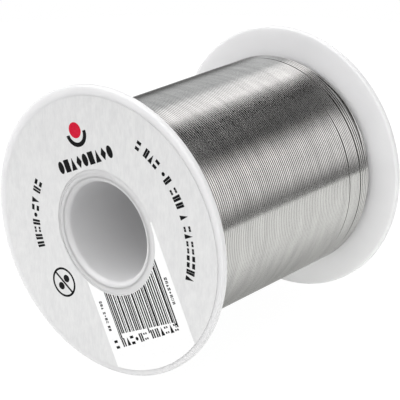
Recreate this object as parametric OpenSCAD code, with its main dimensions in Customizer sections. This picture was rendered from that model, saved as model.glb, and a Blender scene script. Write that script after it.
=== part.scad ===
// Spool of fine flux-cored solder wire: a two-part press-fitted plastic spool with a label,
// wound full of wire. The spool's axis is Y, the labelled front flange faces -Y, +Z is up,
// and the origin is the middle of the bore.

/* [Spool] */
// Diameter of both flanges
flange_d = 37; // [36:0.5:42]
// Width over both flanges
spool_w = 37.4; // [30:0.2:45]
// Thickness of each flange
flange_t = 0.9; // [0.9:0.1:1.6]
// Rounding of the flanges' edges
edge_r = 0.3; // [0.1:0.05:0.45]
// Diameter of the bore that turns on a spindle
bore_d = 12.8; // [10:0.1:13]
// Wall of the bore sleeve, which belongs to the rear half
sleeve_wall = 0.7; // [0.6:0.05:0.9]
// Wall of the barrel, which belongs to the front half
barrel_wall = 0.7; // [0.6:0.05:0.9]
// Depth of the shallow ring step round the bore's two mouths
step_depth = 0.08; // [0.05:0.01:0.15]

/* [Wire] */
// Diameter of the wire
wire_d = 0.3; // [0.25:0.01:0.35]
// Diameter of the flux core inside the wire
flux_d = 0.12; // [0.08:0.01:0.14]
// Diameter over the wound wire at the front flange
wound_front_d = 29.2; // [26:0.1:30]
// Diameter over the wound wire at the rear flange
wound_rear_d = 29.6; // [26:0.1:30]
// Width of the loose last turns beside the rear flange
last_turns_w = 2.8; // [1:0.1:5]

/* [Wire ends] */
// Diameter of the two holes that hold the wire's ends
tie_hole_d = 1; // [0.9:0.05:1.1]
// Width of the grooves that the two wire ends lie in
groove_w = 0.6; // [0.5:0.05:0.8]
// Depth of those grooves
groove_depth = 0.4; // [0.36:0.02:0.5]
// Angle of the hole for the wire's inner end, counted from +X towards +Z
start_angle = 160; // [120:5:180]
// Angle of the hole for the wire's outer end
end_angle = 230; // [200:5:260]
// Length of the inner end in its groove
start_tail = 4.5; // [3:0.5:5]
// Length of the outer end in its groove
end_tail = 4; // [3:0.5:4.5]

/* [Label] */
// Outer diameter of the label
label_d = 34.9; // [32:0.1:35]
// Diameter of the label's hole
label_hole_d = 16; // [15.9:0.1:17]
// Thickness of the label film
label_t = 0.08; // [0.05:0.01:0.12]
// How far right and down the label was stuck off centre
label_shift = 0.22; // [0:0.02:0.3]

/* [Hidden] */
$fn = 96;
arc_steps = 6;

flange_r = flange_d / 2;
bore_r = bore_d / 2;
sleeve_r = bore_r + sleeve_wall;
barrel_r = sleeve_r + barrel_wall;
step_inset = 0.1;
step_r = barrel_r - step_inset;
front_z = -spool_w / 2;
rear_z = spool_w / 2;
wind_front_z = front_z + flange_t;
wind_rear_z = rear_z - flange_t;
top_layer_end_z = wind_rear_z - last_turns_w;

// The two wire ends: bend radius, and how close the wire lies to what it touches
wire_r = wire_d / 2;
bend_r = 0.4;
touch_gap = 0.02;
start_hole_r = barrel_r + tie_hole_d / 2;
leave_r = wound_rear_d / 2 + wire_r + touch_gap;
end_hole_inset = 1.9;
end_hole_r = flange_r - end_hole_inset;
end_run = sqrt(pow(end_hole_r, 2) - pow(leave_r, 2));
leave_turn = acos(leave_r / end_hole_r);
inside_z = wind_rear_z - wire_r - touch_gap;
groove_z = rear_z - groove_depth / 2;
core_len = 2;

// How far a cut runs past the face that it opens
cut = 1;

// Ejector pin marks on the outer face of the rear flange
pin_mark_d = 2.4;
pin_mark_depth = 0.06;
pin_mark_circle_r = 13;
pin_mark_angles = [25, 145, 265];

// Radius over the wound wire at a place along the axis
function wound_r(z) = (wound_front_d + (wound_rear_d - wound_front_d)
    * (z - wind_front_z) / (wind_rear_z - wind_front_z)) / 2;

// Points along a round stretch of an outline, with angles in degrees
function arc(x, y, r, from, to) = [
    for (i = [0 : arc_steps])
        let (a = from + (to - from) * i / arc_steps)
            [x + r * cos(a), y + r * sin(a)]
];

// The rounded rim of a flange whose two faces are at z0 and z1
function rim(z0, z1) = concat(
    arc(flange_r - edge_r, z0 + edge_r, edge_r, -90, 0),
    arc(flange_r - edge_r, z1 - edge_r, edge_r, 0, 90)
);

// Turns a shape made along +Z so that it lies along +Y, with local +Y pointing down
module along_axis() {
    rotate([-90, 0, 0])
        children();
}

// Places a shape made along the axis at an angle counted from +X towards +Z
module at_angle(angle) {
    rotate([0, 0, -angle])
        children();
}

// Front flange and the outer barrel that carries the wire
module front_flange_barrel() {
    color("whitesmoke")
        along_axis()
            rotate_extrude()
                polygon(concat(
                    [[sleeve_r, front_z + step_depth], [step_r, front_z + step_depth]],
                    [[step_r, front_z]],
                    rim(front_z, wind_front_z),
                    [[barrel_r, wind_front_z], [barrel_r, wind_rear_z]],
                    [[sleeve_r, wind_rear_z]]
                ));
}

// Rear flange and the bore sleeve, pressed through the barrel from behind
module rear_flange_sleeve() {
    color("whitesmoke")
        along_axis()
            difference() {
                rotate_extrude()
                    rear_outline();
                at_angle(start_angle)
                    tie_hole(start_hole_r, start_tail + tie_hole_d);
                at_angle(end_angle)
                    tie_hole(end_hole_r, -end_tail - tie_hole_d);
                for (a = pin_mark_angles)
                    at_angle(a)
                        translate([pin_mark_circle_r, 0, rear_z - pin_mark_depth])
                            cylinder(d = pin_mark_d, h = pin_mark_depth + cut);
            }
}

module rear_outline() {
    mouth_front_z = front_z + step_depth + sleeve_wall;
    mouth_rear_z = rear_z - step_depth - sleeve_wall;
    polygon(concat(
        arc(sleeve_r, mouth_front_z, sleeve_wall, 180, 270),
        [[sleeve_r, wind_rear_z]],
        rim(wind_rear_z, rear_z),
        [[step_r, rear_z], [step_r, rear_z - step_depth]],
        arc(sleeve_r, mouth_rear_z, sleeve_wall, 90, 180)
    ));
}

// A hole through the rear flange at a radius, and the groove that leads from it along the radius
module tie_hole(radius, groove_len) {
    translate([radius, 0, wind_rear_z - cut])
        cylinder(d = tie_hole_d, h = flange_t + 2 * cut);
    translate([min(radius, radius + groove_len), -groove_w / 2, rear_z - groove_depth])
        cube([abs(groove_len), groove_w, groove_depth + cut]);
}

// Ring of brushed film on the front flange, stuck on a little off centre
module front_label() {
    color("silver")
        along_axis()
            translate([0, 0, front_z - label_t])
                linear_extrude(label_t)
                    difference() {
                        translate([label_shift, label_shift])
                            circle(d = label_d);
                        translate([label_shift / 2, -label_shift / 2])
                            circle(d = label_hole_d);
                    }
}

// A ring of wound wire between two places along the axis; depth is counted from the top
module wound_ring(from_z, to_z, depth) {
    along_axis()
        rotate_extrude()
            polygon([
                [wound_r(from_z) - depth, from_z], [wound_r(from_z), from_z],
                [wound_r(to_z), to_z], [wound_r(to_z) - depth, to_z]
            ]);
}

// Every layer of wire below the top one
module wire_inner_layers() {
    color("darkgray")
        along_axis()
            rotate_extrude()
                polygon([
                    [barrel_r, wind_front_z], [wound_r(wind_front_z) - wire_d, wind_front_z],
                    [wound_r(wind_rear_z) - wire_d, wind_rear_z], [barrel_r, wind_rear_z]
                ]);
}

// The close turns on top
module wire_top_layer() {
    color("silver")
        wound_ring(wind_front_z, top_layer_end_z, wire_d);
}

// The few turns laid last, which stand a little apart
module wire_last_turns() {
    color("gainsboro")
        wound_ring(top_layer_end_z, wind_rear_z, wire_d);
}

// A straight piece of wire from the local origin along local +X
module straight(length, d = wire_d) {
    rotate([0, 90, 0])
        cylinder(d = d, h = length, $fn = 24);
}

// A quarter bend that starts at the local origin along +X and turns up to +Z
module bend() {
    translate([0, 0, bend_r])
        rotate([90, 0, 0])
            rotate([0, 0, -90])
                rotate_extrude(angle = 90)
                    translate([bend_r, 0])
                        circle(d = wire_d, $fn = 24);
}

// The wire's inner end: out through the hole beside the barrel, then along its groove
module wire_start_tail() {
    color("silver")
        along_axis()
            at_angle(start_angle)
                translate([start_hole_r, 0, 0]) {
                    translate([0, 0, wind_rear_z])
                        cylinder(d = wire_d, h = groove_z - bend_r - wind_rear_z, $fn = 24);
                    out_of_hole()
                        straight(start_tail - bend_r);
                }
}

// A bend from the hole into the groove, and what follows it, along local +X
module out_of_hole() {
    translate([bend_r, 0, groove_z])
        children();
    translate([bend_r, 0, groove_z])
        rotate([0, 0, 180])
            mirror([0, 0, 1])
                bend();
}

// The wire's outer end: straight from the top turn to its hole, through it and back inwards
module wire_free_end() {
    color("silver")
        along_axis()
            at_angle(end_angle)
                translate([end_hole_r, 0, 0]) {
                    rotate([0, 0, 90 - leave_turn]) {
                        translate([-end_run, 0, inside_z])
                            straight(end_run - bend_r);
                        translate([-bend_r, 0, inside_z])
                            bend();
                    }
                    translate([0, 0, inside_z + bend_r])
                        cylinder(d = wire_d, h = groove_z - inside_z - 2 * bend_r, $fn = 24);
                    rotate([0, 0, 180])
                        out_of_hole()
                            difference() {
                                straight(end_tail - bend_r);
                                core_place();
                            }
                }
}

// The flux core, as far as it is modelled: the last stretch up to the cut outer end
module flux_core() {
    color("goldenrod")
        along_axis()
            at_angle(end_angle)
                translate([end_hole_r, 0, 0])
                    rotate([0, 0, 180])
                        translate([bend_r, 0, groove_z])
                            core_place();
}

module core_place() {
    translate([end_tail - bend_r - core_len, 0, 0])
        straight(core_len, flux_d);
}

front_flange_barrel();
rear_flange_sleeve();
front_label();
wire_inner_layers();
wire_top_layer();
wire_last_turns();
wire_start_tail();
wire_free_end();
flux_core();
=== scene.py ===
"""Looks of a small spool of fine flux-cored solder wire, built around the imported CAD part.

The spool's axis is Y, the labelled flange faces -Y and +Z is up. Lengths in this script are
millimetres, and MM turns them into Blender's metres when a mesh is made.
"""
from math import acos, cos, degrees, pi, radians, sin, sqrt

import bmesh
import bpy
import numpy as np
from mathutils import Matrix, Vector


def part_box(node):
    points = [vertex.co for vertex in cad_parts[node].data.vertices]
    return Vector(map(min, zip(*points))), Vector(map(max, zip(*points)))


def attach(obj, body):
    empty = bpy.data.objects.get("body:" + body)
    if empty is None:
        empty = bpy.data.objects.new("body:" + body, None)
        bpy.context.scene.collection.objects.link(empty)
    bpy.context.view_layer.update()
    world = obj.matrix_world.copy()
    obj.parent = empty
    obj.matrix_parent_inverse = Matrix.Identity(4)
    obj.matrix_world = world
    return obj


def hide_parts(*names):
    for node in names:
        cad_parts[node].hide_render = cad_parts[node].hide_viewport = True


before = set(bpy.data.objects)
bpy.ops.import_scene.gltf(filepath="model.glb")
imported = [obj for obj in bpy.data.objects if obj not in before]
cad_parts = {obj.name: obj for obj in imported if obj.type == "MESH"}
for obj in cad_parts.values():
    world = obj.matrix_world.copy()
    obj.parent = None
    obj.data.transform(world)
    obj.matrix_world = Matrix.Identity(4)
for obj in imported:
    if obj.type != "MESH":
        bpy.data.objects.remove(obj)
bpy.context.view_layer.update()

MM = 0.001


# ---------------------------------------------------------------- sizes from the frame

def box_mm(node):
    low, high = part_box(node)
    return low / MM, high / MM


flange_low, flange_high = box_mm("front_flange_barrel")
FLANGE_R = flange_high.x
WIND_FRONT_Y = box_mm("wire_top_layer")[0].y
WIND_REAR_Y = box_mm("wire_last_turns")[1].y
LABEL_R = (box_mm("front_label")[1].x - box_mm("front_label")[0].x) / 2
LABEL_CENTRE = (box_mm("front_label")[0] + box_mm("front_label")[1]) / 2
FILM_T = 0.03
FILM_Y = flange_low.y - FILM_T

# What the frame's boxes don't give: the same values as the CAD part's
WIRE_R = 0.15
TOUCH_GAP = 0.02
WOUND_FRONT_R = 14.6
WOUND_REAR_R = 14.8
BARREL_R = 7.8
LABEL_HOLE_R = 8.0
LABEL_HOLE_SHIFT = 0.11
END_HOLE_R = FLANGE_R - 1.9
END_HOLE_ANGLE = radians(230)
LEAVE_R = WOUND_REAR_R + WIRE_R + TOUCH_GAP
LEAVE_Y = WIND_REAR_Y - WIRE_R - TOUCH_GAP
LEAVE_ANGLE = END_HOLE_ANGLE + acos(LEAVE_R / END_HOLE_R)


# ---------------------------------------------------------------- small helpers

def smooth(x):
    x = min(max(x, 0.0), 1.0)
    return x * x * (3 - 2 * x)


def bump(x, centre, half_width):
    """1 at the centre, falling smoothly to 0 at half_width to either side."""
    return smooth(1 - abs(x - centre) / half_width)


def mesh_piece(name, points, faces, material, shade_smooth=True):
    """A piece of the object from points in millimetres."""
    mesh = bpy.data.meshes.new(name)
    mesh.from_pydata([[c * MM for c in p] for p in points], [], faces)
    mesh.validate()
    if shade_smooth:
        mesh.polygons.foreach_set("use_smooth", [True] * len(mesh.polygons))
    mesh.materials.append(material)
    piece = bpy.data.objects.new(name, mesh)
    bpy.context.scene.collection.objects.link(piece)
    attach(piece, "root")
    return piece


# ---------------------------------------------------------------- shader helpers

def shader(name):
    """A new material, its node tree and its Principled shader."""
    material = bpy.data.materials.new(name)
    material.use_nodes = True
    tree = material.node_tree
    return material, tree, tree.nodes["Principled BSDF"]


def add(tree, kind, inputs=None, **settings):
    """A shader node, with its inputs set to values or linked to other nodes' outputs."""
    node = tree.nodes.new(kind)
    for key, value in settings.items():
        setattr(node, key, value)
    for key, value in (inputs or {}).items():
        if isinstance(value, bpy.types.NodeSocket):
            tree.links.new(value, node.inputs[key])
        else:
            node.inputs[key].default_value = value
    return node


def noise(tree, scale, stretch=(1, 1, 1), rotation=(0, 0, 0), detail=3.0, roughness=0.5):
    """Noise in object space: scale is features per metre, stretch lengthens them along an axis."""
    where = add(tree, "ShaderNodeTexCoord")
    place = add(tree, "ShaderNodeMapping", {
        "Vector": where.outputs["Object"],
        "Rotation": rotation,
        "Scale": tuple(scale / s for s in stretch),
    })
    return add(tree, "ShaderNodeTexNoise", {
        "Vector": place.outputs[0], "Scale": 1.0, "Detail": detail, "Roughness": roughness,
    }).outputs["Fac"]


def spread(tree, value, low, high, from_low=0.3, from_high=0.7):
    """Maps a noise value to a range."""
    return add(tree, "ShaderNodeMapRange", {
        "Value": value, "From Min": from_low, "From Max": from_high, "To Min": low, "To Max": high,
    }).outputs[0]


def between(tree, value, colour_a, colour_b):
    mix = add(tree, "ShaderNodeMix", {"Factor": value}, data_type="RGBA")
    mix.inputs["A"].default_value = (*colour_a, 1)
    mix.inputs["B"].default_value = (*colour_b, 1)
    return mix.outputs["Result"]


def bumps(tree, surface, height, distance, strength=1.0):
    relief = add(tree, "ShaderNodeBump", {
        "Height": height, "Distance": distance, "Strength": strength,
    })
    tree.links.new(relief.outputs[0], surface.inputs["Normal"])


# ---------------------------------------------------------------- materials

def spool_plastic():
    """Satin white moulded polystyrene, a little translucent, with faint flow marks."""
    material, tree, surface = shader("spool_plastic")
    cloud = noise(tree, 160, detail=2)
    tint = between(tree, spread(tree, cloud, 0, 1), (0.73, 0.728, 0.735), (0.76, 0.758, 0.765))
    tree.links.new(tint, surface.inputs["Base Color"])
    fine = noise(tree, 2500, detail=2)
    tree.links.new(spread(tree, fine, 0.34, 0.44), surface.inputs["Roughness"])
    surface.inputs["IOR"].default_value = 1.55
    surface.inputs["Subsurface Weight"].default_value = 0.85
    surface.inputs["Subsurface Radius"].default_value = (1, 1, 1)
    surface.inputs["Subsurface Scale"].default_value = 1.6 * MM
    bumps(tree, surface, fine, 0.004 * MM)
    return material


def label_film():
    """Silver film with a fine brushed grain."""
    material, tree, surface = shader("label_film")
    grain = noise(tree, 5200, stretch=(1, 1, 4), rotation=(0, radians(4), 0), detail=3)
    cloud = noise(tree, 1300, stretch=(1, 1, 2), detail=2)
    both = add(tree, "ShaderNodeMath", {0: grain, 1: cloud}, operation="ADD").outputs[0]
    tint = between(tree, spread(tree, both, 0, 1, 0.7, 1.3),
                   (0.72, 0.72, 0.725), (0.80, 0.80, 0.80))
    tree.links.new(tint, surface.inputs["Base Color"])
    surface.inputs["Metallic"].default_value = 0.2
    tree.links.new(spread(tree, grain, 0.36, 0.52), surface.inputs["Roughness"])
    bumps(tree, surface, grain, 0.0015 * MM)
    return material


def print_ink(name, colour, worn, roughness):
    """Printed ink, slightly uneven where it lies on the film's grain."""
    material, tree, surface = shader(name)
    speck = noise(tree, 3800, detail=4)
    tree.links.new(between(tree, spread(tree, speck, 0, 1, 0.45, 0.75), colour, worn),
                   surface.inputs["Base Color"])
    tree.links.new(spread(tree, speck, roughness - 0.06, roughness + 0.08),
                   surface.inputs["Roughness"])
    surface.inputs["Specular IOR Level"].default_value = 0.08
    bumps(tree, surface, speck, 0.001 * MM)
    return material


def solder_metal():
    """Bright drawn tin alloy: dull streaks along the wire and a faint haze of oxide."""
    material, tree, surface = shader("solder_wire")
    haze = noise(tree, 420, stretch=(3, 0.5, 3), detail=2)
    drawn = noise(tree, 2600, stretch=(8, 0.5, 8), detail=2)
    tint = between(tree, spread(tree, haze, 0, 1), (0.41, 0.407, 0.40), (0.48, 0.476, 0.468))
    tree.links.new(tint, surface.inputs["Base Color"])
    surface.inputs["Metallic"].default_value = 1.0
    tree.links.new(spread(tree, drawn, 0.09, 0.15), surface.inputs["Roughness"])
    return material


def rosin():
    """Amber flux, glossy where the wire was cut."""
    material, tree, surface = shader("flux")
    cloud = noise(tree, 6000, detail=2)
    tree.links.new(between(tree, cloud, (0.55, 0.30, 0.06), (0.75, 0.48, 0.14)),
                   surface.inputs["Base Color"])
    surface.inputs["Roughness"].default_value = 0.15
    surface.inputs["Transmission Weight"].default_value = 0.3
    return material


PLASTIC = spool_plastic()
FILM = label_film()
WHITE = print_ink("label_white", (0.96, 0.96, 0.96), (0.93, 0.93, 0.93), 0.5)
BLACK = print_ink("label_black", (0.004, 0.004, 0.005), (0.012, 0.012, 0.013), 0.42)
RED = print_ink("label_red", (0.58, 0.008, 0.035), (0.62, 0.02, 0.05), 0.42)
METAL = solder_metal()
FLUX = rosin()


# ---------------------------------------------------------------- CAD nodes that stay

FINISHES = {
    "front_flange_barrel": PLASTIC,
    "rear_flange_sleeve": PLASTIC,
    "wire_start_tail": METAL,
    "wire_free_end": METAL,
    "flux_core": FLUX,
}
for node, finish in FINISHES.items():
    node_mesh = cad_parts[node].data
    node_mesh.materials.clear()
    node_mesh.materials.append(finish)


# ---------------------------------------------------------------- the wound wire

TURN_STEPS = 96
WIRE_SIDES = 10
# drawn a little wider along the axis than the wire, so that the turns almost close up
TURN_HALF_WIDTH = 0.165
PITCH = 0.344
LAYER_DROP = 0.25


def wound_radius(y):
    share = (y - WIND_FRONT_Y) / (WIND_REAR_Y - WIND_FRONT_Y)
    return WOUND_FRONT_R + (WOUND_REAR_R - WOUND_FRONT_R) * share


def wound_tube(name, path, turns_from, turns_to, replaces=()):
    """A tube along a winding. path(turn) gives its centre as angle, place along Y and radius."""
    steps = round((turns_to - turns_from) * TURN_STEPS)
    rows = [path(turns_from + (turns_to - turns_from) * i / steps) for i in range(steps + 1)]
    angle, y, radius = (np.array(column)[:, None] for column in zip(*rows))
    around = np.linspace(0, 2 * pi, WIRE_SIDES, endpoint=False)[None, :]
    out = radius + WIRE_R * np.cos(around)
    along = y + TURN_HALF_WIDTH * np.sin(around)
    points = np.stack([out * np.cos(angle), along, out * np.sin(angle)], -1).reshape(-1, 3)
    faces = []
    for i in range(steps):
        for k in range(WIRE_SIDES):
            a = i * WIRE_SIDES + k
            b = i * WIRE_SIDES + (k + 1) % WIRE_SIDES
            faces.append((a, b, b + WIRE_SIDES, a + WIRE_SIDES))
    last = steps * WIRE_SIDES
    faces.append(tuple(reversed(range(WIRE_SIDES))))
    faces.append(tuple(range(last, last + WIRE_SIDES)))
    piece = mesh_piece(name, points, faces, METAL)
    if replaces:
        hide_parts(*replaces)
    return piece


# The top layer is counted in turns back from the point where the free end leaves it, so
# that turn 0 is that point. The wire steps back from the rear flange as the count grows.
# LAST_TURN_Y is where the last turn passes VIEW_ANGLE, counted from +X towards +Z.
VIEW_ANGLE = radians(50)
VIEW_TURN = (VIEW_ANGLE - (LEAVE_ANGLE - 2 * pi)) / (2 * pi)
LAST_TURN_Y = 16.41
LOOSE_PITCH = 0.40
LOOSE_TURNS = 4
# The gap behind the loose turns, and how long before their end it starts to open
LOOSE_GAP = 0.21
LOOSE_GAP_LEAD = 0.35
# The gap further on, which opens only part of the way round, between two angles in degrees
PART_GAP = 0.17
PART_GAP_TURN = 10.7
PART_GAP_FROM, PART_GAP_TO, PART_GAP_EASE = -100, 55, 30
# The share of a turn over which either gap opens
GAP_OPENS_OVER = 0.3
# The last turn's bulge towards the flange: how far, and its middle and half width in degrees
BULGE, BULGE_AT, BULGE_REACH = 0.42, 41, 29
# Shares of a turn over which the last one climbs to where the free end leaves it
CLIMB_ALONG, CLIMB_OUT = 0.14, 0.10


def top_path(turn):
    """The top layer, with the gaps between its last turns."""
    angle = LEAVE_ANGLE + 2 * pi * turn
    local = degrees(angle - LEAVE_ANGLE) % 360 + degrees(LEAVE_ANGLE) - 360
    back = turn - VIEW_TURN
    loose = min(back, LOOSE_TURNS - 1)
    y = LAST_TURN_Y - LOOSE_PITCH * loose - PITCH * (back - loose)
    y -= LOOSE_GAP * smooth((turn - LOOSE_TURNS + LOOSE_GAP_LEAD) / GAP_OPENS_OVER)
    # the gap that opens half way round and stays in the shape of the turns laid after it
    opened = (smooth((PART_GAP_TO - local) / PART_GAP_EASE)
              * smooth((local - PART_GAP_FROM) / PART_GAP_EASE))
    crowded = min(max((turn - LOOSE_TURNS) / (PART_GAP_TURN - LOOSE_TURNS), 0.0), 1.0)
    y += PART_GAP * opened * crowded * smooth((PART_GAP_TURN - turn) / GAP_OPENS_OVER)
    # the last turn bulges towards the flange, then climbs to where it leaves
    if turn < 1:
        y += BULGE * bump(local, BULGE_AT, BULGE_REACH)
        y += (LEAVE_Y - y) * smooth((CLIMB_ALONG - turn) / CLIMB_ALONG)
    radius = wound_radius(y) - WIRE_R
    if turn < 1:
        radius += (LEAVE_R - radius) * smooth((CLIMB_OUT - turn) / CLIMB_OUT)
    return angle, y, radius


def lower_path(layer, rear_y, hand):
    """A layer below the top one, counted in turns from its end at the rear flange."""
    def path(turn):
        y = rear_y - PITCH * turn
        return hand * 2 * pi * turn + layer, y, wound_radius(y) - WIRE_R - layer * LAYER_DROP
    return path


# How far the wire stays off the front flange, and the step in which the turns are counted
FRONT_CLEARANCE = 0.03
COUNT_STEP = 0.05
# Where the layers below start, counted from the rear flange, and how many turns are drawn
SECOND_FROM, SECOND_TURNS = 1.7, 14
THIRD_FROM, THIRD_TURNS = 0.2, 6

first_y = WIND_FRONT_Y + WIRE_R + FRONT_CLEARANCE
top_turns = 0
while top_path(top_turns + COUNT_STEP)[1] > first_y:
    top_turns += COUNT_STEP
# the two pieces of the top layer meet halfway through the opening of the gap
last_turns = LOOSE_TURNS - 0.2
wound_tube("top_layer_turns", top_path, last_turns, top_turns, ["wire_top_layer"])
wound_tube("last_turns", top_path, 0.0, last_turns, ["wire_last_turns"])
wound_tube("second_layer_turns", lower_path(1, WIND_REAR_Y - SECOND_FROM, 1), 0, SECOND_TURNS)
wound_tube("third_layer_turns", lower_path(2, WIND_REAR_Y - THIRD_FROM, -1), 0, THIRD_TURNS)


def inner_layers():
    """The layers below the drawn ones as one ring, which steps down where it shows."""
    depth = 3 * LAYER_DROP
    step_from, step_to = 11.5, 12.0
    fall_start = WIND_REAR_Y - 1.2
    fall = 0.2
    outline = [
        (BARREL_R, WIND_FRONT_Y), (wound_radius(WIND_FRONT_Y) - 2 * WIRE_R, WIND_FRONT_Y),
        (wound_radius(step_from) - 2 * WIRE_R, step_from), (wound_radius(step_to) - depth, step_to),
        (wound_radius(fall_start) - depth, fall_start),
        (wound_radius(WIND_REAR_Y) - depth - fall, WIND_REAR_Y), (BARREL_R, WIND_REAR_Y),
    ]
    points, faces = [], []
    count = len(outline)
    for i in range(TURN_STEPS):
        a = 2 * pi * i / TURN_STEPS
        points += [(r * cos(a), y, r * sin(a)) for r, y in outline]
    for i in range(TURN_STEPS):
        j = (i + 1) % TURN_STEPS
        for k in range(count):
            m = (k + 1) % count
            faces.append((i * count + k, j * count + k, j * count + m, i * count + m))
    piece = mesh_piece("inner_layers_ring", points, faces, METAL, False)
    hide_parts("wire_inner_layers")


inner_layers()


# ---------------------------------------------------------------- the label
# Art coordinates are millimetres from the spool's axis: u along the lines of print, v up
# from them. The label was stuck on with its art turned by ART_TURN.

ART_TURN = radians(25.5)
INK_T = 0.01


def art_point(u, v, y):
    return (u * cos(ART_TURN) - v * sin(ART_TURN), y, u * sin(ART_TURN) + v * cos(ART_TURN))


def label_ring():
    """The film: a thin flat ring, with its hole a little off the spool's axis."""
    steps = 144
    points, faces = [], []
    for i in range(steps):
        a = 2 * pi * i / steps
        outer = (LABEL_CENTRE.x + LABEL_R * cos(a), LABEL_CENTRE.z + LABEL_R * sin(a))
        hole = (LABEL_HOLE_SHIFT + LABEL_HOLE_R * cos(a), LABEL_HOLE_SHIFT + LABEL_HOLE_R * sin(a))
        for x, z in (outer, hole):
            points += [(x, FILM_Y, z), (x, FILM_Y + FILM_T, z)]
    for i in range(steps):
        a, b = 4 * i, 4 * ((i + 1) % steps)
        faces += [(a, a + 2, b + 2, b), (a + 1, b + 1, b + 3, a + 3),
                  (a, b, b + 1, a + 1), (a + 2, a + 3, b + 3, b + 2)]
    film = mesh_piece("label_ring", points, faces, FILM, False)
    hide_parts("front_label")


label_ring()


def print_piece(name, outlines, material, level=0, rings=()):
    """Thin solids of ink, one per outline. Level 1 lies on top of another print layer."""
    back = FILM_Y - level * INK_T
    front = back - INK_T
    points, faces = [], []

    def wall(loop_a, loop_b):
        n = len(loop_a)
        for k in range(n):
            faces.append((loop_a[k], loop_a[(k + 1) % n], loop_b[(k + 1) % n], loop_b[k]))

    def loop(outline, y):
        start = len(points)
        points.extend(art_point(u, v, y) for u, v in outline)
        return list(range(start, start + len(outline)))

    for outline in outlines:
        near, far = loop(outline, front), loop(outline, back)
        faces.append(tuple(near))
        faces.append(tuple(reversed(far)))
        wall(near, far)
    for outer, inner in rings:
        near_o, near_i = loop(outer, front), loop(inner, front)
        far_o, far_i = loop(outer, back), loop(inner, back)
        wall(near_o, near_i)
        wall(near_o, far_o)
        wall(near_i, far_i)
        wall(far_o, far_i)
    piece = mesh_piece(name, points, faces, material, False)
    cleaned = bmesh.new()
    cleaned.from_mesh(piece.data)
    bmesh.ops.recalc_face_normals(cleaned, faces=cleaned.faces)
    cleaned.to_mesh(piece.data)
    cleaned.free()
    return piece


def rect(u0, v0, u1, v1):
    return [(u0, v0), (u1, v0), (u1, v1), (u0, v1)]


def circle(cu, cv, r, steps=72, start=0.0, end=2 * pi):
    closed = end - start >= 2 * pi
    count = steps if closed else steps + 1
    return [(cu + r * cos(start + (end - start) * i / steps),
             cv + r * sin(start + (end - start) * i / steps)) for i in range(count)]


def turned(outline, cu, cv, angle):
    """An outline turned about the origin and moved."""
    return [(cu + u * cos(angle) - v * sin(angle), cv + u * sin(angle) + v * cos(angle))
            for u, v in outline]


def mark(kind, width, height, stroke):
    """One abstract mark that stands where a character would: never a letter or a digit."""
    w, h = width / 2, height / 2
    if kind == 0:
        return [rect(-w, -h, w, -h + 1.4 * stroke), rect(-w, h - 1.4 * stroke, w, h)]
    if kind == 1:
        return [rect(-w, -h, -w + stroke, h), rect(w - stroke, -h, w, h)]
    if kind == 2:
        return [circle(0, 0, 0.8 * w, 16)]
    if kind == 3:
        return [rect(x - stroke / 2, z - stroke / 2, x + stroke / 2, z + stroke / 2)
                for x in (stroke / 2 - w, w - stroke / 2) for z in (-0.6 * h, 0.6 * h)]
    return [[(-w, -h), (w, -h), (0, h)]]


def row_of_marks(groups, length, height, stroke):
    """Outlines of a row of marks in groups that starts at u = 0 and about fills the length."""
    # how much of the length is ink, and what a break between groups counts for in the width
    # of a mark, in the gap and in the row itself
    ink, break_width, break_gap, break_step = 0.76, 0.6, 1.6, 2.2
    count, breaks = sum(groups), len(groups) - 1
    width = ink * length / (count + break_width * breaks)
    gap = (length - count * width) / (count - 1 + break_gap * breaks)
    outlines, u, i = [], 0.0, 0
    for group in groups:
        for _ in range(group):
            for outline in mark((i * i + i // 3) % 5, width, height, stroke):
                outlines.append([(a + u + width / 2, b) for a, b in outline])
            u += width + gap
            i += 1
        u += break_step * gap
    return outlines


def straight_marks(u0, v0, u1, v1, groups, height, stroke):
    """A row of marks between two points."""
    length = sqrt((u1 - u0) ** 2 + (v1 - v0) ** 2)
    angle = np.arctan2(v1 - v0, u1 - u0)
    return [turned(outline, u0, v0, angle)
            for outline in row_of_marks(groups, length, height, stroke)]


def curved_marks(r, start, end, groups, height, stroke):
    """A row of marks along an arc about the spool's axis. Angles are on the label, in degrees."""
    start, end = radians(start) - ART_TURN, radians(end) - ART_TURN
    outlines = row_of_marks(groups, abs(end - start) * r, height, stroke)
    sign = 1 if end > start else -1

    def bend(u, v):
        a = start + sign * u / r
        return ((r - sign * v) * cos(a), (r - sign * v) * sin(a))
    return [[bend(u, v) for u, v in outline] for outline in outlines]


def hole_edge(u):
    """The label hole's lower edge, as v at a place u, in art coordinates."""
    cu = LABEL_HOLE_SHIFT * (cos(ART_TURN) + sin(ART_TURN))
    cv = LABEL_HOLE_SHIFT * (cos(ART_TURN) - sin(ART_TURN))
    return cv - sqrt(max(LABEL_HOLE_R ** 2 - (u - cu) ** 2, 0))


def label_edge(u, inset):
    cu = LABEL_CENTRE.x * cos(ART_TURN) + LABEL_CENTRE.z * sin(ART_TURN)
    cv = -LABEL_CENTRE.x * sin(ART_TURN) + LABEL_CENTRE.z * cos(ART_TURN)
    return cv - sqrt((LABEL_R - inset) ** 2 - (u - cu) ** 2)


PANEL_LEFT, PANEL_RIGHT = -5.96, 8.34
PANEL_TOP = -0.2


def white_panel():
    """The white field from the label's hole to near its rim."""
    steps = 40
    hole_right = 8.1
    rim_gap, hole_gap = 0.06, 0.02
    across = [PANEL_LEFT + (PANEL_RIGHT - PANEL_LEFT) * i / steps for i in range(steps + 1)]
    lower = [(u, label_edge(u, rim_gap)) for u in across]
    upper = [(u, hole_edge(u) - hole_gap) for u in reversed(across) if u < hole_right]
    return lower + [(PANEL_RIGHT, PANEL_TOP), (hole_right, PANEL_TOP)] + upper


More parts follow.
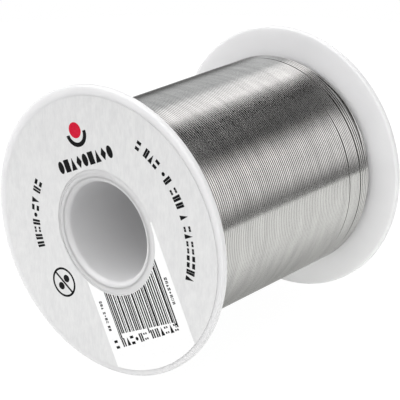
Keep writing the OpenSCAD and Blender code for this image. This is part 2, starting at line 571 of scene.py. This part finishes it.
def barcode():
    """Made-up bars: widths follow a formula and stand for no number."""
    left, right = -3.76, 6.75
    highest, lowest, guard_lowest = -4.4, -12.55, -13.2
    hole_gap = 0.05
    bars = 30
    widths = [1.2 + (5 * i * i + 3 * i) % 7 % 4 * 1.0 for i in range(bars)]
    gaps = [0.9 + (4 * i * i + i) % 9 % 4 * 0.45 for i in range(bars - 1)]
    unit = (right - left) / (sum(widths) + sum(gaps))
    outlines, u = [], left
    for i in range(bars):
        w = widths[i] * unit
        bottom = guard_lowest if i in (0, 1, bars // 2, bars - 2, bars - 1) else lowest
        top = [min(hole_edge(x) - hole_gap, highest) for x in (u, u + w)]
        outlines.append([(u, bottom), (u + w, bottom), (u + w, top[1]), (u, top[0])])
        u += w + (gaps[i] * unit if i < bars - 1 else 0)
    return outlines


def bold_blocks():
    """A row of nine bold plain shapes, where a name would be."""
    left, right, low, high = -3.85, 6.07, 8.45, 10.05
    count = 9
    gap = 0.2
    width = (right - left - gap * (count - 1)) / count
    mid, h = (low + high) / 2, (high - low) / 2
    outlines = []
    for i in range(count):
        u = left + i * (width + gap) + width / 2
        if i % 4 == 0:
            outlines.append([(u + width / 2 * cos(a), mid + h * sin(a))
                             for a in (2 * pi * k / 24 for k in range(24))])
        elif i % 4 == 1:
            outlines.append(rect(u - width / 2, low, u + width / 2, high))
        elif i % 4 == 2:
            outlines.append([(u - width / 2, low), (u + width / 2, low), (u, high)])
        else:
            outlines.append([(u, low), (u + width / 2, mid), (u, high), (u - width / 2, mid)])
    return outlines


def cup(cu, cv, r_out, r_in):
    """A half ring that opens upwards."""
    outer = circle(cu, cv, r_out, 32, pi, 2 * pi)
    inner = circle(cu, cv, r_in, 32, pi, 2 * pi)
    return outer + inner[::-1]


def barred_circle():
    """A ring with a slash, over two plain dots."""
    cu, cv, r, stroke = -10.2, -4.54, 1.97, 0.28
    dot_r, dot_offset = 0.5, 0.75
    rings = [(circle(cu, cv, r), circle(cu, cv, r - stroke))]
    tilt = radians(-35) - ART_TURN
    slash = turned(rect(-r + stroke / 2, -stroke / 2, r - stroke / 2, stroke / 2), cu, cv, tilt)
    dots = [circle(cu - offset * sin(tilt), cv + offset * cos(tilt), dot_r, 24)
            for offset in (-dot_offset, dot_offset)]
    return [slash, *dots], rings


def label_print():
    print_piece("white_panel", [white_panel()], WHITE)
    print_piece("barcode", barcode(), BLACK, 1)
    digits = straight_marks(-5.0, -13.8, 6.3, -13.15, [1, 6, 6], 1.1, 0.24)
    side = straight_marks(7.35, -7.0, 7.35, -10.4, [8], 0.45, 0.13)
    side += straight_marks(-5.0, -8.0, -5.0, -11.8, [3, 4, 2], 0.45, 0.13)
    print_piece("panel_marks", digits + side, BLACK, 1)
    print_piece("bold_blocks", bold_blocks(), BLACK)
    print_piece("round_mark_red", [circle(1.15, 13.05, 1.0)], RED)
    print_piece("round_mark_dark", [cup(1.15, 12.7, 1.75, 1.2)], BLACK)
    sizes = curved_marks(13.7, 67, -8, [1, 3, 2, 3, 1, 8], 1.25, 0.31)
    number = curved_marks(11.9, 159, 202, [2, 7], 1.25, 0.31)
    print_piece("curved_marks", sizes + number, BLACK)
    outlines, rings = barred_circle()
    print_piece("barred_circle", outlines, BLACK, 0, rings)


label_print()


# ---------------------------------------------------------------- studio

FLOOR_R = 170
# How bright the floor is to diffuse rays, beyond the flanges and between them, and where that
# changes, as distance from the spool's middle along its axis
FLOOR_GLOW = 0.1
FLOOR_GLOW_BETWEEN = 1.2
BETWEEN_ENDS = (14, 20)
# How bright the metal mirrors it, under the spool and out in the open, and where that changes, as
# distance from the axis to the right. The dimmer glow under the spool is a painted shadow of the
# spool.
FLOOR_MIRRORED_UNDER = 0.38
FLOOR_MIRRORED = 0.8
UNDER_ENDS = (12, 32)
# How bright the camera sees it, and how much of what it sees is that even white
FLOOR_WHITE = 1.2
FLOOR_WHITE_SHARE = 0.8


def studio_floor():
    """A round grey table that the camera sees as white."""
    ring = [(u * MM, v * MM, -FLANGE_R * MM) for u, v in circle(0, 0, FLOOR_R, 96)]
    mesh = bpy.data.meshes.new("floor")
    mesh.from_pydata(ring, [], [tuple(range(len(ring)))])
    floor = bpy.data.objects.new("floor", mesh)
    bpy.context.scene.collection.objects.link(floor)
    material, tree, surface = shader("floor")
    surface.inputs["Base Color"].default_value = (0.5, 0.5, 0.5, 1)
    surface.inputs["Roughness"].default_value = 1.0
    surface.inputs["Specular IOR Level"].default_value = 0.0
    # seen directly, the table is overexposed to white, as a cut-out product picture shows it
    white = add(tree, "ShaderNodeEmission", {"Color": (1, 1, 1, 1), "Strength": FLOOR_WHITE})
    ray = add(tree, "ShaderNodeLightPath")
    place = add(tree, "ShaderNodeSeparateXYZ", {
        0: add(tree, "ShaderNodeTexCoord").outputs["Object"]})
    # the glow that glossy rays see dims under the spool: a painted shadow
    glossy_glow_painted_shadow = add(tree, "ShaderNodeMapRange", {
        "Value": place.outputs["X"],
        "From Min": UNDER_ENDS[0] * MM, "From Max": UNDER_ENDS[1] * MM,
        "To Min": FLOOR_MIRRORED_UNDER, "To Max": FLOOR_MIRRORED,
    }, interpolation_type="SMOOTHSTEP")
    # the flanges' inner faces get more light from below than their outer ones
    from_middle = add(tree, "ShaderNodeMath", {0: place.outputs["Y"]}, operation="ABSOLUTE")
    between_flanges = add(tree, "ShaderNodeMapRange", {
        "Value": from_middle.outputs[0],
        "From Min": BETWEEN_ENDS[0] * MM, "From Max": BETWEEN_ENDS[1] * MM,
        "To Min": FLOOR_GLOW_BETWEEN, "To Max": FLOOR_GLOW,
    }, interpolation_type="SMOOTHSTEP")
    diffuse_glow = add(tree, "ShaderNodeMath", {
        0: ray.outputs["Is Diffuse Ray"], 1: between_flanges.outputs[0],
    }, operation="MULTIPLY")
    glow = add(tree, "ShaderNodeMath", {
        0: ray.outputs["Is Glossy Ray"], 1: glossy_glow_painted_shadow.outputs[0], 2: diffuse_glow.outputs[0],
    }, operation="MULTIPLY_ADD")
    surface.inputs["Emission Color"].default_value = (0.99, 1.0, 0.97, 1)
    tree.links.new(glow.outputs[0], surface.inputs["Emission Strength"])
    share = add(tree, "ShaderNodeMath", {0: ray.outputs["Is Camera Ray"], 1: FLOOR_WHITE_SHARE},
                operation="MULTIPLY")
    mix = add(tree, "ShaderNodeMixShader", {
        0: share.outputs[0], 1: surface.outputs[0], 2: white.outputs[0],
    })
    tree.links.new(mix.outputs[0], tree.nodes["Material Output"].inputs["Surface"])
    mesh.materials.append(material)


# Long softboxes beside the spool. "around" is the angle round the spool's axis, from +X
# towards +Z, as centre, half width and soft edge; "along" is the angle towards the rear (+Y)
# in the same way, and None is a box much longer than the spool. Then brightness and tint.
SOFTBOXES = [
    ("right", (24, 7, 28), (8, 28, 16), 2.1, (1.0, 0.985, 0.985)),
    ("dim", (54, 14, 16), (0, 9, 12), 0.65, (1.0, 1.0, 1.0)),
    ("top", (106.5, 6, 8), None, 2.0, (1.0, 0.985, 0.985)),
    ("top_left", (129, 8, 15), (35, 50, 20), 1.15, (0.97, 0.99, 1.0)),
    ("left", (188, 16, 24), (35, 50, 20), 0.45, (1.0, 1.0, 1.0)),
    ("rear", (110, 22, 20), (90, 22, 14), 0.35, (1.0, 1.0, 1.0)),
]
# Large soft fill lights that the metal doesn't mirror: direction, half angle, soft edge and
# brightness.
FILLS = [
    ("front", (0.45, -0.85, 0.35), 25, 25, 0.5),
    ("upper_left", (-0.35, -0.5, 0.8), 25, 35, 1.45),
    ("behind", (-0.1, 1.0, 0.4), 20, 20, 0.8),
]
# Even light from all round, what share of the boxes' light diffuse rays get, and the backdrop
FILL_AROUND = 0.45
BOX_SHARE = 0.15
BACKDROP = 1.0


def falloff(tree, off_centre, half, edge):
    """1 within half degrees of a centre, 0 from half + edge on."""
    far = add(tree, "ShaderNodeMath", {0: off_centre}, operation="ABSOLUTE")
    return add(tree, "ShaderNodeMapRange", {
        "Value": far.outputs[0], "From Min": radians(half), "From Max": radians(half + edge),
        "To Min": 1.0, "To Max": 0.0,
    }, interpolation_type="SMOOTHSTEP").outputs[0]


def studio_world():
    world = bpy.data.worlds.new("studio")
    bpy.context.scene.world = world
    world.use_nodes = True
    tree = world.node_tree
    tree.nodes.clear()

    def math(operation, a, b=0.0):
        return add(tree, "ShaderNodeMath", {0: a, 1: b}, operation=operation).outputs[0]

    where = add(tree, "ShaderNodeTexCoord").outputs["Generated"]
    split = add(tree, "ShaderNodeSeparateXYZ", {0: where})
    around = math("ARCTAN2", split.outputs["Z"], split.outputs["X"])
    along = math("ARCSINE", split.outputs["Y"])

    def total(glows, start):
        for amount, tint in glows:
            glow = add(tree, "ShaderNodeVectorMath", {0: tint, "Scale": amount}, operation="SCALE")
            start = add(tree, "ShaderNodeVectorMath", {0: glow.outputs[0], 1: start},
                        operation="ADD").outputs[0]
        return start

    boxes, fills = [], []
    for _, (centre, half, edge), reach, level, tint in SOFTBOXES:
        off = add(tree, "ShaderNodeMath", {0: math("SUBTRACT", around, radians(centre)),
                                           1: pi, 2: -pi}, operation="WRAP").outputs[0]
        lit = falloff(tree, off, half, edge)
        if reach:
            lit = math("MULTIPLY", lit, falloff(tree, math("SUBTRACT", along, radians(reach[0])),
                                                reach[1], reach[2]))
        boxes.append((math("MULTIPLY", lit, level), tint))
    for _, direction, half, edge, level in FILLS:
        unit = tuple(Vector(direction).normalized())
        facing = add(tree, "ShaderNodeVectorMath", {0: where, 1: unit}, operation="DOT_PRODUCT")
        lit = falloff(tree, math("ARCCOSINE", facing.outputs["Value"]), half, edge)
        fills.append((math("MULTIPLY", lit, level), (1, 1, 1)))
    mirrored = total(boxes, (0, 0, 0))
    soft_boxes = total([(BOX_SHARE, mirrored)], (FILL_AROUND, FILL_AROUND, FILL_AROUND))
    diffused = total(fills, soft_boxes)
    ray = add(tree, "ShaderNodeLightPath")
    soft = add(tree, "ShaderNodeBackground", {"Color": diffused, "Strength": 1.0})
    sharp = add(tree, "ShaderNodeBackground", {"Color": mirrored, "Strength": 1.0})
    plain = add(tree, "ShaderNodeBackground", {"Color": (1, 1, 1, 1), "Strength": BACKDROP})
    lights = add(tree, "ShaderNodeMixShader", {
        0: ray.outputs["Is Glossy Ray"], 1: soft.outputs[0], 2: sharp.outputs[0],
    })
    mix = add(tree, "ShaderNodeMixShader", {
        0: ray.outputs["Is Camera Ray"], 1: lights.outputs[0], 2: plain.outputs[0],
    })
    out = add(tree, "ShaderNodeOutputWorld")
    tree.links.new(mix.outputs[0], out.inputs["Surface"])


def camera():
    """The main view: distance and aim are measured in flange radii."""
    azimuth, elevation = radians(39.55), radians(20.7)
    distance, aim_right, aim_up = 10.86, -0.0173, -0.0551
    back = Vector((sin(azimuth) * cos(elevation), -cos(azimuth) * cos(elevation), sin(elevation)))
    right = Vector((cos(azimuth), sin(azimuth), 0))
    up = right.cross(-back)
    data = bpy.data.cameras.new("camera")
    data.sensor_width = 36
    data.lens = 138.4
    data.clip_start = 0.01
    data.clip_end = 10
    eye = bpy.data.objects.new("camera", data)
    aim = right * aim_right + up * aim_up
    eye.location = (aim + back * distance) * FLANGE_R * MM
    eye.rotation_mode = "QUATERNION"
    eye.rotation_quaternion = (-back).to_track_quat("-Z", "Y")
    bpy.context.scene.collection.objects.link(eye)
    bpy.context.scene.camera = eye


studio_floor()
studio_world()
camera()
bpy.context.scene.view_settings.view_transform = "Standard"
